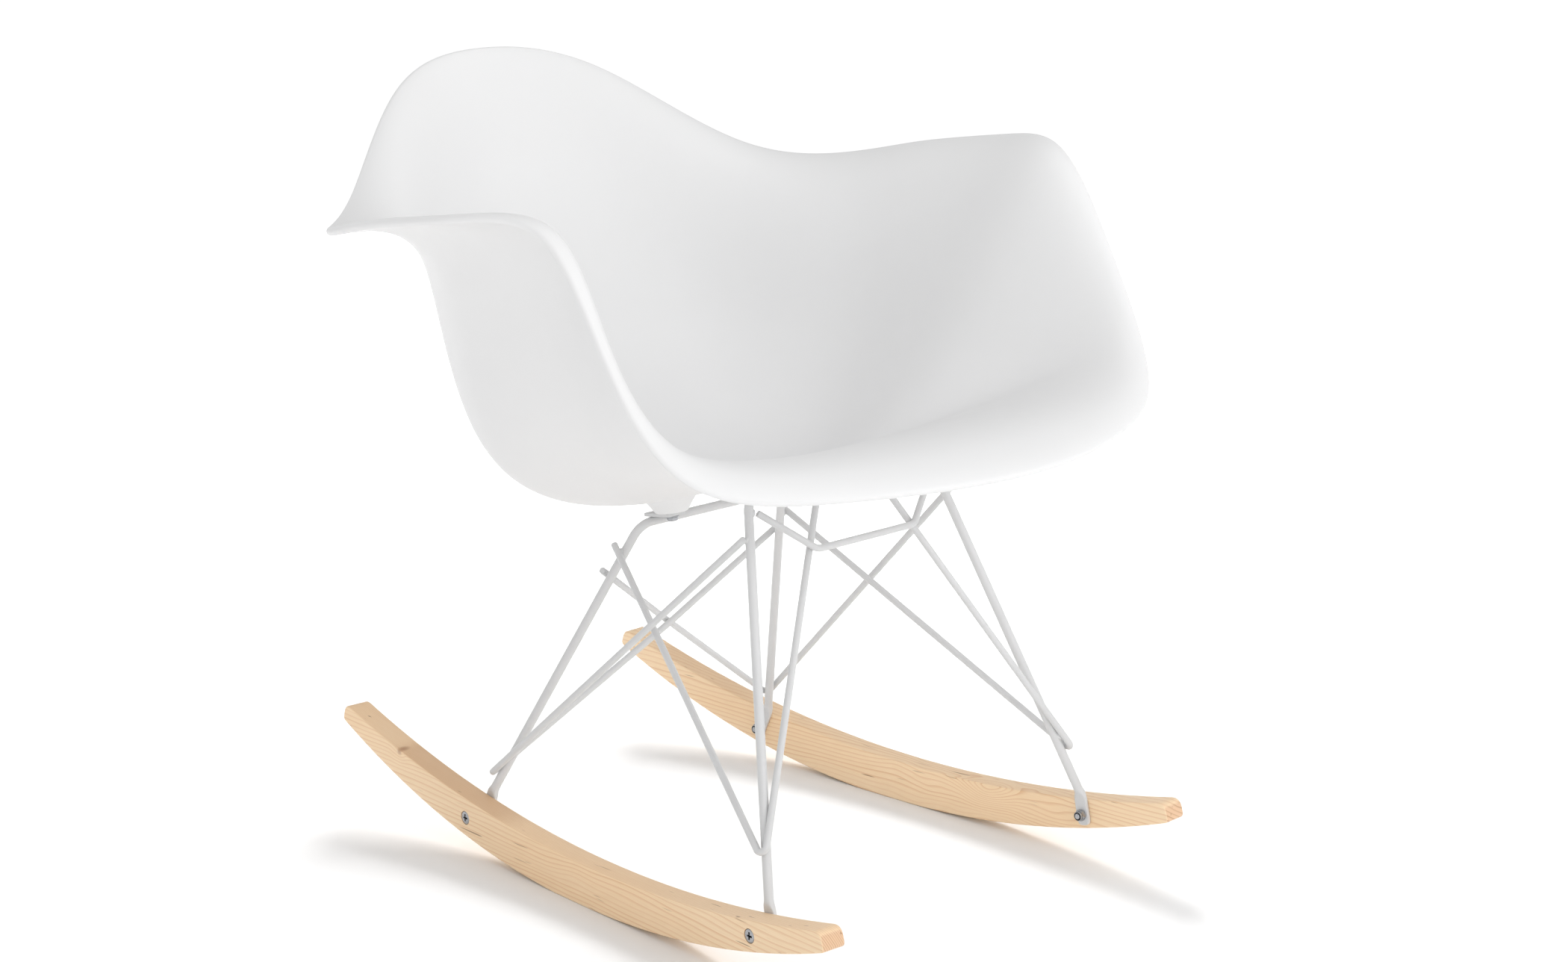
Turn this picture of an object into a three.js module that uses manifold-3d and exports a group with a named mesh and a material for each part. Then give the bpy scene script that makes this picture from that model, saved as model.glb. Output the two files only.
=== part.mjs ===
// Rocking chair: a moulded armchair shell on a wire base with two curved wooden runners.
// Millimetres, +Z up. The chair faces -Y, its right side is -X, and the floor is z = 0.
import * as THREE from "three";
import { mergeVertices } from "three/addons/utils/BufferGeometryUtils.js";
import Module from "manifold-3d";

const wasm = await Module();
wasm.setup();

// ---- driving dimensions -------------------------------------------------------------------

const LEFT = 1;
const RIGHT = -1;
const GAP = 0.3; // left between touching pieces
const SMALL_SIDES = 12; // facets of a screw, washer or insert
const HEX = 6;
const PAST = 1; // a cutting tool reaches this far past the face it cuts

// Support rods are 8 mm steel, the struts and the brace are 6 mm.
const ROD = { r: 4, sides: 10, bendR: 18 };
const WIRE = { r: 3, sides: 8, vBendR: 5, cornerBendR: 12, bowBendR: 60 };

// A runner stands on edge. Its underside is two arcs that meet a short flat at the floor.
const RUNNER = {
  outerX: 199.3, // outer face from the chair's middle, at y = 0
  toe: Math.atan(0.0502), // the runners stand wider apart at the front
  width: 22.6,
  ease: 1.2, // chamfer along the edges
  flatFrom: -12,
  flatTo: 44,
  frontArc: { y: 0, r: 940 },
  rearArc: { y: 6, r: 905 },
  topArc: { y: -15, z: 37.8, r: 1340 },
  frontEnd: { lowY: -314.2, highY: -309.8 },
  rearEnd: { lowY: 374.5, highY: 369 },
  cornerLow: 4,
  cornerHigh: 9,
};

// Each leg of a support rod ends in a spade tab against the runner's inner face, held by a bolt.
// A leg runs straight from its foot, just above the runner, to the corner of its upper bend.
const TAB = { width: 14.5, thick: 3.5, hole: 3, below: 9.5, shoulder: 5, neck: 3.3, intoRod: 4 };
const REAR_ROD = { foot: { y: 164.8, z: 56 }, bolt: { y: 176, z: 32.5 }, corner: [83.4, 49, 306] };
const FRONT_ROD = { foot: { y: -218.5, z: 60 }, bolt: { y: -222.5, z: 40.5 }, corner: [104.6, -113.7, 363] };
const BOLT = { headR: 5.8, headDeep: 2.6, ease: 0.7, shankR: 2.5, tip: 33.5 };
const RECESS = { long: 6.4, wide: 1.2, deep: 1.6 }; // the cross in a bolt's head
const COUNTERBORE = { r: 6.2, deep: 3 };
const BOLT_HOLE_R = 3;
const NUT = { flats: 9, hex: 4.2, collarR: 4.2, collar: 1.8, bore: 2.9, pocketR: 3.8 };
const NUT_RING = { outerR: 3.5, innerR: 2.75 };

// The shell is held by four screws in line with the crossbars, through plates on top of them.
const MOUNT_X = 62.5;
const MOUNT_TILT = THREE.MathUtils.degToRad(-8.5);
const PLATE = { halfWidth: 10.5, short: 7, long: 27, thick: 3, corner: 3, hole: 3.5 };
const MOUNTS = {
  front: { rod: FRONT_ROD, screwToRod: -17.7 },
  rear: { rod: REAR_ROD, screwToRod: 19 },
};
const BOSS = { tipR: 14.5, topR: 35, length: 30, sides: 24, bore: 5, boreDeep: 10.5 };
const INSERT = { outerR: 4.6, innerR: 3.3, length: 9 };
const WASHER = { outerR: 6.2, innerR: 3.4, thick: 1 };
const SCREW = { headR: 5, headHigh: 3.4, ease: 1, shankR: 2.8, reach: 9, socketR: 2.2, socketDeep: 2 };

// The shell is a fan of curves from the pan's middle to the rim. Each row is one curve of the
// left half, from the front centre round to the back centre: its handle near the pan, its
// handle near the rim, and its end on the rim.
const SHELL = { wall: 4.8, edge: 7.6, edgeBand: 0.1, around: 72, across: 14, edgeSteps: 4 };
const PAN = { y: -28, z: 350, slope: 0.45, reach: 0.45 };
const FAN = [
  { foot: [0, -195, 405], shoulder: [0, -275, 450], rim: [0, -325, 400] },
  { foot: [120, -190, 405], shoulder: [160, -255, 445], rim: [165, -280, 400] },
  { foot: [220, -160, 400], shoulder: [235, -220, 455], rim: [265, -220, 425] },
  { foot: [265, -90, 360], shoulder: [250, -170, 495], rim: [290, -155, 520] },
  { foot: [275, -10, 330], shoulder: [225, -105, 610], rim: [295, -95, 600] },
  { foot: [275, 70, 305], shoulder: [200, -40, 605], rim: [315, -10, 605] },
  { foot: [290, 140, 285], shoulder: [170, 35, 605], rim: [315, 95, 590] },
  { foot: [280, 220, 280], shoulder: [125, 90, 605], rim: [305, 170, 575] },
  { foot: [205, 285, 280], shoulder: [110, 195, 620], rim: [225, 250, 585] },
  { foot: [110, 300, 280], shoulder: [65, 290, 645], rim: [115, 330, 660] },
  { foot: [0, 290, 280], shoulder: [0, 330, 635], rim: [0, 360, 685] },
];

// Strut and brace corners on the left side. The rear struts cross in the middle, one behind
// the other, so each bows aside there.
const FRONT_STRUT = [[97.5, 68.5, 287], [187, -216, 92.8], [31.5, -121.2, 361]];
const REAR_STRUT = [[120.8, -126, 331.5], [169.5, 168, 68], [-103, 79, 262.5]];
const CROSSING_BOW = WIRE.r + 3 * GAP;
const BRACE_END = [101.4, -121.6, 349];
const BRACE_CORNER = [56.2, -145, 314.4];

// The chair is drawn with its floor contact near y = 0, then centred front to back.
const CENTRE_Y = 22.1;

// ---- materials ----------------------------------------------------------------------------

const LOOKS = {
  shell: { color: 0xf1f1ef, roughness: 0.55, metalness: 0 },
  coat: { color: 0xeeeeec, roughness: 0.45, metalness: 0.1 },
  maple: { color: 0xe6bd84, roughness: 0.5, metalness: 0 },
  steel: { color: 0xb9bcc0, roughness: 0.3, metalness: 1 },
  brass: { color: 0xc7a24a, roughness: 0.4, metalness: 1 },
  nylon: { color: 0x2e3033, roughness: 0.6, metalness: 0 },
};

const chair = new THREE.Group();
chair.position.y = -CENTRE_Y;

// A right-hand piece is the left-hand one seen in a mirror.
function add(parent, name, shape, look, side = LEFT) {
  const geometry = shape.isBufferGeometry ? shape : toGeometry(shape);
  const mesh = new THREE.Mesh(geometry, new THREE.MeshStandardMaterial(LOOKS[look]));
  mesh.name = name;
  mesh.scale.x = side;
  parent.add(mesh);
}

function sideName(side) {
  return side === LEFT ? "left" : "right";
}

// ---- solids -------------------------------------------------------------------------------

function toSolid(geometry) {
  const bare = geometry.clone();
  bare.deleteAttribute("normal");
  bare.deleteAttribute("uv");
  const merged = mergeVertices(bare, 1e-4);
  const vertProperties = new Float32Array(merged.attributes.position.array);
  const triVerts = new Uint32Array(merged.index.array);
  return new wasm.Manifold(new wasm.Mesh({ numProp: 3, vertProperties, triVerts }));
}

function toGeometry(solid) {
  const mesh = solid.getMesh();
  const geometry = new THREE.BufferGeometry();
  geometry.setAttribute("position", new THREE.BufferAttribute(mesh.vertProperties, 3));
  geometry.setIndex(new THREE.BufferAttribute(mesh.triVerts, 1));
  return geometry;
}

// A turned piece standing on z: a profile of [radius, z] pairs from the foot up.
function turned(profile, sides = SMALL_SIDES) {
  const points = profile.map(([r, z]) => new THREE.Vector2(r, z));
  return new THREE.LatheGeometry(points, sides).rotateX(Math.PI / 2);
}

function pin(r, from, to, sides = SMALL_SIDES) {
  return turned([[0, from], [r, from], [r, to], [0, to]], sides);
}

function ring(innerR, outerR, from, to) {
  return turned([[innerR, from], [outerR, from], [outerR, to], [innerR, to], [innerR, from]]);
}

// ---- bent wire ----------------------------------------------------------------------------

const BEND_STEPS = 5;

// A wire bent at each corner of a line of points. Its samples are where its shape changes:
// the ends of every straight, and a few points round every bend.
class BentWire extends THREE.Curve {
  constructor(corners, radii) {
    super();
    this.samples = [];
    corners.forEach((corner, i) => {
      const before = corners[i - 1];
      const after = corners[i + 1];
      if (!before || !after) {
        const along = before ? corner.clone().sub(before) : after.clone().sub(corner);
        this.samples.push({ at: corner, along: along.normalize() });
        return;
      }
      this.addBend(before, corner, after, radii[i]);
    });
  }

  addBend(before, corner, after, r) {
    const arriving = corner.clone().sub(before).normalize();
    const leaving = after.clone().sub(corner).normalize();
    const angle = arriving.angleTo(leaving);
    const outward = arriving.clone().sub(leaving).normalize();
    const centre = corner.clone().addScaledVector(outward, -r / Math.cos(angle / 2));
    const axis = arriving.clone().cross(leaving).normalize();
    for (let step = 0; step <= BEND_STEPS; step++) {
      const turn = angle * (step / BEND_STEPS - 0.5);
      const spoke = outward.clone().applyAxisAngle(axis, turn);
      const along = axis.clone().cross(spoke);
      this.samples.push({ at: centre.clone().addScaledVector(spoke, r), along });
    }
  }

  sample(share) {
    return this.samples[Math.round(share * (this.samples.length - 1))];
  }

  getPointAt(share, target = new THREE.Vector3()) {
    return target.copy(this.sample(share).at);
  }

  getTangentAt(share, target = new THREE.Vector3()) {
    return target.copy(this.sample(share).along);
  }

  getSpacedPoints() {
    return this.samples.map((sample) => sample.at);
  }
}

function wire(corners, radii, { r, sides }) {
  const path = new BentWire(corners, radii);
  const section = new THREE.Shape().absarc(0, 0, r, 0, 2 * Math.PI);
  return new THREE.ExtrudeGeometry(section, {
    steps: path.samples.length - 1,
    curveSegments: sides / 2,
    extrudePath: path,
  });
}

function vec([x, y, z], side = LEFT) {
  return new THREE.Vector3(side * x, y, z);
}

// ---- runners ------------------------------------------------------------------------------

// A frame whose z axis points out of the left runner's outer face, x runs to the back of the
// chair and y up, with z = 0 on that face.
const RUNNER_FRAME = new THREE.Matrix4()
  .makeTranslation(RUNNER.outerX, 0, 0)
  .multiply(new THREE.Matrix4().makeRotationZ(RUNNER.toe))
  .multiply(
    new THREE.Matrix4().makeBasis(
      new THREE.Vector3(0, 1, 0),
      new THREE.Vector3(0, 0, 1),
      new THREE.Vector3(1, 0, 0),
    ),
  );

// Length along the runner's frame of a point at y in the chair's.
function alongRunner(y) {
  return y / Math.cos(RUNNER.toe);
}

// A point on the tab's middle plane.
function onTab({ y, z }) {
  const inside = -RUNNER.width - GAP - TAB.thick / 2;
  return new THREE.Vector3(alongRunner(y), z, inside).applyMatrix4(RUNNER_FRAME);
}

const floorSag = ({ y, r }, at) => r - Math.sqrt(r * r - (at - y) ** 2);

function undersideZ(y) {
  const arc = y < RUNNER.flatFrom ? RUNNER.frontArc : RUNNER.rearArc;
  const meets = y < RUNNER.flatFrom ? RUNNER.flatFrom : RUNNER.flatTo;
  return floorSag(arc, y) - floorSag(arc, meets);
}

function topsideZ(y) {
  return RUNNER.topArc.z + floorSag(RUNNER.topArc, y);
}

// The point a given way from one corner towards another.
function stepTo(from, to, distance) {
  return from.clone().lerp(to, distance / from.distanceTo(to));
}

function runnerOutline() {
  const { frontArc, rearArc, topArc, frontEnd, rearEnd, flatFrom, flatTo } = RUNNER;
  const { cornerLow, cornerHigh } = RUNNER;
  const under = (y) => new THREE.Vector2(y, undersideZ(y));
  const over = (y) => new THREE.Vector2(y, topsideZ(y));
  const angleAt = ({ y, r }, at) => Math.asin((at - y) / r) - Math.PI / 2;
  const lift = (arc, meets) => arc.r - floorSag(arc, meets);
  const outline = new THREE.Shape();
  const corner = (sharp, next, size) => {
    const end = stepTo(sharp, next, size);
    outline.quadraticCurveTo(sharp.x, sharp.y, end.x, end.y);
  };
  const underArc = (arc, meets, from, to) => {
    outline.absarc(arc.y, lift(arc, meets), arc.r, angleAt(arc, from), angleAt(arc, to), false);
  };

  underArc(frontArc, flatFrom, frontEnd.lowY + cornerLow, flatFrom);
  underArc(rearArc, flatTo, flatTo, rearEnd.lowY - cornerLow);
  const rearLow = under(rearEnd.lowY);
  const rearHigh = over(rearEnd.highY);
  corner(rearLow, rearHigh, cornerLow);
  const rearTurn = stepTo(rearHigh, rearLow, cornerHigh);
  outline.lineTo(rearTurn.x, rearTurn.y);
  const rearTop = over(rearEnd.highY - cornerHigh);
  outline.quadraticCurveTo(rearHigh.x, rearHigh.y, rearTop.x, rearTop.y);
  const frontTopY = frontEnd.highY + cornerHigh;
  outline.absarc(
    topArc.y, topArc.z + topArc.r, topArc.r,
    angleAt(topArc, rearTop.x), angleAt(topArc, frontTopY), true,
  );
  const frontHigh = over(frontEnd.highY);
  const frontLow = under(frontEnd.lowY);
  corner(frontHigh, frontLow, cornerHigh);
  const frontTurn = stepTo(frontLow, frontHigh, cornerLow);
  outline.lineTo(frontTurn.x, frontTurn.y);
  const start = under(frontEnd.lowY + cornerLow);
  outline.quadraticCurveTo(frontLow.x, frontLow.y, start.x, start.y);
  return outline;
}

function runner() {
  const blank = new THREE.ExtrudeGeometry(runnerOutline(), {
    depth: RUNNER.width - 2 * RUNNER.ease,
    curveSegments: 8,
    bevelThickness: RUNNER.ease,
    bevelSize: RUNNER.ease,
    bevelOffset: -RUNNER.ease,
    bevelSegments: 1,
  }).translate(0, 0, RUNNER.ease - RUNNER.width);
  let body = toSolid(blank);
  for (const { bolt } of [REAR_ROD, FRONT_ROD]) {
    const hole = pin(BOLT_HOLE_R, -RUNNER.width - PAST, PAST);
    const seat = pin(COUNTERBORE.r, -COUNTERBORE.deep, PAST);
    for (const cut of [hole, seat]) {
      body = body.subtract(toSolid(cut.translate(alongRunner(bolt.y), bolt.z, 0)));
    }
  }
  return toGeometry(body).applyMatrix4(RUNNER_FRAME);
}

// ---- bolts through the runners ------------------------------------------------------------

function bolt() {
  const { headR, headDeep, ease, shankR, tip } = BOLT;
  const { long, wide, deep } = RECESS;
  const top = -GAP / 2;
  const neck = -headDeep;
  let body = toSolid(turned([[0, -tip], [shankR, -tip], [shankR, neck], [headR, neck],
    [headR, top - ease], [headR - ease, top], [0, top]]));
  for (const [across, up] of [[long, wide], [wide, long]]) {
    const slot = new THREE.BoxGeometry(across, up, 2 * deep).translate(0, 0, top);
    body = body.subtract(toSolid(slot));
  }
  return body;
}

const NUT_FACE = -(RUNNER.width + TAB.thick + 2 * GAP);

// A hexagon nut with a collar. Its nylon ring sits in a pocket at the collar's end.
function lockNut() {
  const { flats, hex, collarR, collar, bore, pocketR } = NUT;
  const corner = flats / Math.sqrt(3);
  const end = NUT_FACE - hex - collar;
  const hexagon = toSolid(pin(corner, NUT_FACE - hex, NUT_FACE, HEX));
  return hexagon
    .add(toSolid(pin(collarR, end, NUT_FACE - PAST)))
    .subtract(toSolid(pin(bore, end - PAST, NUT_FACE + PAST)))
    .subtract(toSolid(pin(pocketR, end - PAST, end + collar)));
}

function nutRing() {
  const end = NUT_FACE - NUT.hex - NUT.collar;
  return ring(NUT_RING.innerR, NUT_RING.outerR, end, end + NUT.collar - GAP);
}

// ---- support rods -------------------------------------------------------------------------

// A tab hangs from the foot of its leg past the bolt, round at its lower end.
function spadeTab({ foot, bolt: at }) {
  const hang = Math.atan2(alongRunner(foot.y - at.y), foot.z - at.z);
  const toFoot = Math.hypot(alongRunner(foot.y - at.y), foot.z - at.z);
  const half = TAB.width / 2;
  const outline = new THREE.Shape();
  outline.absarc(0, half - TAB.below, half, Math.PI, 2 * Math.PI, false);
  outline.lineTo(half, toFoot - TAB.shoulder);
  outline.lineTo(TAB.neck, toFoot);
  outline.lineTo(TAB.neck, toFoot + TAB.intoRod);
  outline.lineTo(-TAB.neck, toFoot + TAB.intoRod);
  outline.lineTo(-TAB.neck, toFoot);
  outline.lineTo(-half, toFoot - TAB.shoulder);
  const blank = new THREE.ExtrudeGeometry(outline, {
    depth: TAB.thick,
    curveSegments: 6,
    bevelEnabled: false,
  }).translate(0, 0, -RUNNER.width - GAP - TAB.thick);
  const hole = pin(TAB.hole, -2 * RUNNER.width, 0);
  return toGeometry(toSolid(blank).subtract(toSolid(hole)))
    .rotateZ(-hang)
    .translate(alongRunner(at.y), at.z, 0)
    .applyMatrix4(RUNNER_FRAME);
}

function mirrored(solid) {
  return solid.mirror([1, 0, 0]);
}

function supportRod(rod) {
  const foot = onTab(rod.foot);
  const legs = [foot, vec(rod.corner)];
  const corners = [...legs, ...[...legs].reverse().map((p) => vec(p.toArray(), RIGHT))];
  const bar = toSolid(wire(corners, [0, ROD.bendR, ROD.bendR, 0], ROD));
  const tab = toSolid(spadeTab(rod));
  return bar.add(tab).add(mirrored(tab));
}

// ---- struts and brace ---------------------------------------------------------------------

function frontStrut() {
  return wire(FRONT_STRUT.map((p) => vec(p)), [0, WIRE.vBendR, 0], WIRE);
}

// The arm that crosses to the other side bows front or back of its twin half way along.
function rearStrut(bow) {
  const [frontTip, v, acrossTip] = REAR_STRUT.map((p) => vec(p));
  const share = v.x / (v.x - acrossTip.x);
  const passing = v.clone().lerp(acrossTip, share);
  passing.y += bow;
  return wire([frontTip, v, passing, acrossTip], [0, WIRE.vBendR, WIRE.bowBendR, 0], WIRE);
}

function brace() {
  const half = [vec(BRACE_END), vec(BRACE_CORNER)];
  const corners = [...half, ...[...half].reverse().map((p) => vec(p.toArray(), RIGHT))];
  return wire(corners, [0, WIRE.cornerBendR, WIRE.cornerBendR, 0], WIRE);
}

// ---- shell mounts -------------------------------------------------------------------------

// Where a mount's screw meets the underside of its plate. The plate lies on the crossbar.
function mountPoint({ rod, screwToRod }) {
  const down = ROD.r + GAP;
  const toRod = new THREE.Vector3(0, screwToRod, -down).applyAxisAngle(
    new THREE.Vector3(1, 0, 0),
    MOUNT_TILT,
  );
  return new THREE.Vector3(MOUNT_X, rod.corner[1], rod.corner[2]).sub(toRod);
}

function mountFrame(mount, side) {
  const frame = new THREE.Group();
  const at = mountPoint(mount);
  frame.position.set(side * at.x, at.y, at.z);
  frame.rotation.x = MOUNT_TILT;
  frame.updateMatrix();
  return frame;
}

// A plate reaches further on the side where the crossbar is.
function mountPlate({ screwToRod }) {
  const { halfWidth, short, long, thick, corner, hole } = PLATE;
  const from = screwToRod > 0 ? -short : -long;
  const to = screwToRod > 0 ? long : short;
  const outline = new THREE.Shape();
  outline.absarc(halfWidth - corner, to - corner, corner, 0, Math.PI / 2, false);
  outline.absarc(corner - halfWidth, to - corner, corner, Math.PI / 2, Math.PI, false);
  outline.absarc(corner - halfWidth, from + corner, corner, Math.PI, 1.5 * Math.PI, false);
  outline.absarc(halfWidth - corner, from + corner, corner, 1.5 * Math.PI, 2 * Math.PI, false);
  outline.holes.push(new THREE.Path().absarc(0, 0, hole, 0, 2 * Math.PI, true));
  return new THREE.ExtrudeGeometry(outline, {
    depth: thick,
    curveSegments: 5,
    bevelEnabled: false,
  });
}

function washer() {
  return ring(WASHER.innerR, WASHER.outerR, -GAP - WASHER.thick, -GAP);
}

function mountScrew() {
  const { headR, headHigh, ease, shankR, reach, socketR, socketDeep } = SCREW;
  const seat = -2 * GAP - WASHER.thick;
  const foot = seat - headHigh;
  const tip = PLATE.thick + GAP + reach;
  const body = toSolid(turned([[0, foot], [headR - ease, foot], [headR, foot + ease], [headR, seat],
    [shankR, seat], [shankR, tip], [0, tip]]));
  return body.subtract(toSolid(pin(socketR, foot - PAST, foot + socketDeep, HEX)));
}

function insert() {
  const from = PLATE.thick + 2 * GAP;
  return ring(INSERT.innerR, INSERT.outerR, from, from + INSERT.length);
}

// ---- shell --------------------------------------------------------------------------------

function roundFan(key) {
  const left = FAN.map((curve) => vec(curve[key]));
  const right = FAN.slice(1, -1).reverse().map((curve) => vec(curve[key], RIGHT));
  return new THREE.CatmullRomCurve3([...left, ...right], true, "catmullrom", 0.5);
}

const fanCurves = { foot: roundFan("foot"), shoulder: roundFan("shoulder"), rim: roundFan("rim") };
const panMiddle = new THREE.Vector3(0, PAN.y, PAN.z);

// The middle of the shell's wall: turn goes once round the fan, out runs from the pan's middle
// to the rim. Near the middle every curve leaves along one plane, so the pan has no peak.
function wallPoint(turn, out) {
  const round = ((turn % 1) + 1) % 1;
  const foot = fanCurves.foot.getPoint(round);
  const shoulder = fanCurves.shoulder.getPoint(round);
  const rim = fanCurves.rim.getPoint(round);
  const near = panMiddle.clone().lerp(foot, PAN.reach);
  near.z = PAN.z - PAN.slope * (near.y - PAN.y);
  const back = 1 - out;
  return new THREE.Vector3()
    .addScaledVector(panMiddle, back ** 4)
    .addScaledVector(near, 4 * back ** 3 * out)
    .addScaledVector(foot, 6 * back ** 2 * out ** 2)
    .addScaledVector(shoulder, 4 * back * out ** 3)
    .addScaledVector(rim, out ** 4);
}

const NUDGE = 1e-3;

function wallFrame(turn, out) {
  const round = wallPoint(turn + NUDGE, out).sub(wallPoint(turn - NUDGE, out));
  const outward = wallPoint(turn, out).sub(wallPoint(turn, out - NUDGE)).normalize();
  const up = outward.clone().cross(round).normalize();
  return { outward, up };
}

// The wall thickens towards its edge.
function thickness(out) {
  const edge = THREE.MathUtils.smoothstep(out, 1 - SHELL.edgeBand, 1);
  return THREE.MathUtils.lerp(SHELL.wall, SHELL.edge, edge);
}

function wallRing(out, lift) {
  const points = [];
  for (let i = 0; i < SHELL.around; i++) {
    const turn = i / SHELL.around;
    const { up } = wallFrame(turn, out);
    points.push(wallPoint(turn, out).addScaledVector(up, lift * thickness(out) / 2));
  }
  return points;
}

// The rim is rounded: a half circle from the inner face to the outer.
function edgeRing(angle) {
  const points = [];
  for (let i = 0; i < SHELL.around; i++) {
    const turn = i / SHELL.around;
    const { outward, up } = wallFrame(turn, 1);
    const point = wallPoint(turn, 1);
    point.addScaledVector(up, Math.cos(angle) * SHELL.edge / 2);
    point.addScaledVector(outward, Math.sin(angle) * SHELL.edge / 2);
    points.push(point);
  }
  return points;
}

// A closed skin over rings of equal size, brought to a point at each end. Each four-sided
// patch is split along its shorter diagonal, so the left and right halves match.
function skin(first, rings, last) {
  const count = rings[0].length;
  const points = [...rings.flat(), first, last];
  const lastRing = (rings.length - 1) * count;
  const faces = [];
  for (let i = 0; i < count; i++) {
    const next = (i + 1) % count;
    faces.push(points.length - 2, i, next);
    faces.push(points.length - 1, lastRing + next, lastRing + i);
    for (let start = 0; start < lastRing; start += count) {
      const [a, b, c, d] = [start + i, start + count + i, start + count + next, start + next];
      const straight = points[a].distanceTo(points[c]) < points[b].distanceTo(points[d]);
      faces.push(...(straight ? [a, b, c, a, c, d] : [a, b, d, b, c, d]));
    }
  }
  const geometry = new THREE.BufferGeometry().setFromPoints(points);
  return geometry.setIndex(faces);
}

const panUp = new THREE.Vector3(0, PAN.slope, 1).normalize();

function seatSkin() {
  const outs = Array.from({ length: SHELL.across }, (_, i) => (i + 1) / SHELL.across);
  const inner = outs.map((out) => wallRing(out, 1));
  const outer = outs.map((out) => wallRing(out, -1)).reverse();
  const edge = [];
  for (let step = 1; step < SHELL.edgeSteps; step++) {
    edge.push(edgeRing((Math.PI * step) / SHELL.edgeSteps));
  }
  return skin(
    panMiddle.clone().addScaledVector(panUp, SHELL.wall / 2),
    [...inner, ...edge, ...outer],
    panMiddle.clone().addScaledVector(panUp, -SHELL.wall / 2),
  );
}

// Everything below the middle of the wall, out to well past the mounts.
const BELOW_PAN_OUT = 0.55;
const BELOW_PAN_STEPS = 6;
const BELOW_PAN_FLOOR = 280;

function belowPan() {
  const rings = [];
  for (let step = 1; step <= BELOW_PAN_STEPS; step++) {
    rings.push(wallRing((BELOW_PAN_OUT * step) / BELOW_PAN_STEPS, 0));
  }
  const outermost = rings[rings.length - 1];
  rings.push(outermost.map((p) => new THREE.Vector3(p.x, p.y, BELOW_PAN_FLOOR)));
  return skin(panMiddle, rings, new THREE.Vector3(0, PAN.y, BELOW_PAN_FLOOR));
}

function seatShell() {
  let body = toSolid(seatSkin());
  const limit = toSolid(belowPan());
  const base = PLATE.thick + GAP;
  const boss = turned([[0, base], [BOSS.tipR, base],
    [BOSS.topR, base + BOSS.length], [0, base + BOSS.length]], BOSS.sides);
  const bore = pin(BOSS.bore, base - PAST, base + BOSS.boreDeep);
  for (const mount of Object.values(MOUNTS)) {
    for (const side of [LEFT, RIGHT]) {
      const frame = mountFrame(mount, side).matrix;
      const place = (geometry) => toSolid(geometry.clone().applyMatrix4(frame));
      body = body.add(place(boss).intersect(limit)).subtract(place(bore));
    }
  }
  return body;
}

// ---- the chair ----------------------------------------------------------------------------

add(chair, "seat_shell", seatShell(), "shell");

for (const [where, mount] of Object.entries(MOUNTS)) {
  for (const side of [LEFT, RIGHT]) {
    const frame = mountFrame(mount, side);
    const place = `${where}_${sideName(side)}`;
    chair.add(frame);
    add(frame, `threaded_insert_${place}`, insert(), "brass");
    add(frame, `mount_plate_${place}`, mountPlate(mount), "coat");
    add(frame, `mount_washer_${place}`, washer(), "steel");
    add(frame, `mount_screw_${place}`, mountScrew(), "steel");
  }
}

add(chair, "front_support_rod", supportRod(FRONT_ROD), "coat");
add(chair, "rear_support_rod", supportRod(REAR_ROD), "coat");
add(chair, "front_brace", brace(), "coat");

for (const side of [LEFT, RIGHT]) {
  const which = sideName(side);
  add(chair, `front_${which}_strut`, frontStrut(), "coat", side);
  add(chair, `rear_${which}_strut`, rearStrut(side * CROSSING_BOW), "coat", side);
  add(chair, `${which}_runner`, runner(), "maple", side);
  for (const [where, rod] of Object.entries({ front: FRONT_ROD, rear: REAR_ROD })) {
    const place = `${where}_${which}`;
    const seat = (shape) => {
      const geometry = shape.isBufferGeometry ? shape : toGeometry(shape);
      return geometry.translate(alongRunner(rod.bolt.y), rod.bolt.z, 0).applyMatrix4(RUNNER_FRAME);
    };
    add(chair, `runner_screw_${place}`, seat(bolt()), "steel", side);
    add(chair, `lock_nut_${place}`, seat(lockNut()), "steel", side);
    add(chair, `lock_nut_ring_${place}`, seat(nutRing()), "nylon", side);
  }
}

export default chair;
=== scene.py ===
"""A rocking chair: a moulded plastic armchair shell on a bent wire base, on two maple runners.

Sizes and meshes are millimetres in the drawing's frame, whose floor contact is near y = 0. A
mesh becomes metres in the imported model's frame when it is made. Materials, lights and the
floor are in metres. The chair faces -Y and its left side is +X.
"""
import math

import bpy
import numpy as np
from mathutils import Matrix, Vector


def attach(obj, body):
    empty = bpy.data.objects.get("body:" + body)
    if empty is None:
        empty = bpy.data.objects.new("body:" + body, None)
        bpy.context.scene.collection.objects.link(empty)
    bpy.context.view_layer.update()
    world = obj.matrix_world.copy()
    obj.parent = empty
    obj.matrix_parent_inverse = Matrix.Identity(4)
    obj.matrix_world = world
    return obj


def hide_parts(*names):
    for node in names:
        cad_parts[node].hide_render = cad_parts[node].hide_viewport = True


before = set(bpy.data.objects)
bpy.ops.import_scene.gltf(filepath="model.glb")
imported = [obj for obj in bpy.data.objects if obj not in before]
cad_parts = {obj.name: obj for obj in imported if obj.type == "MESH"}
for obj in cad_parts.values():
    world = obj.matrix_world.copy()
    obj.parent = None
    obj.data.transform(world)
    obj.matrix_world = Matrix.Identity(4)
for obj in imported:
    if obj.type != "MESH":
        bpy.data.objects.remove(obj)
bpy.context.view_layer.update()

# ---- sizes --------------------------------------------------------------------------------

MM = 0.001
CENTRE_Y = 22.1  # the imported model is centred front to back
LEFT, RIGHT = 1, -1
GAP = 0.3
SIDES = {"left": LEFT, "right": RIGHT}
MIRROR = np.array([-1.0, 1.0, 1.0])

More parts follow.
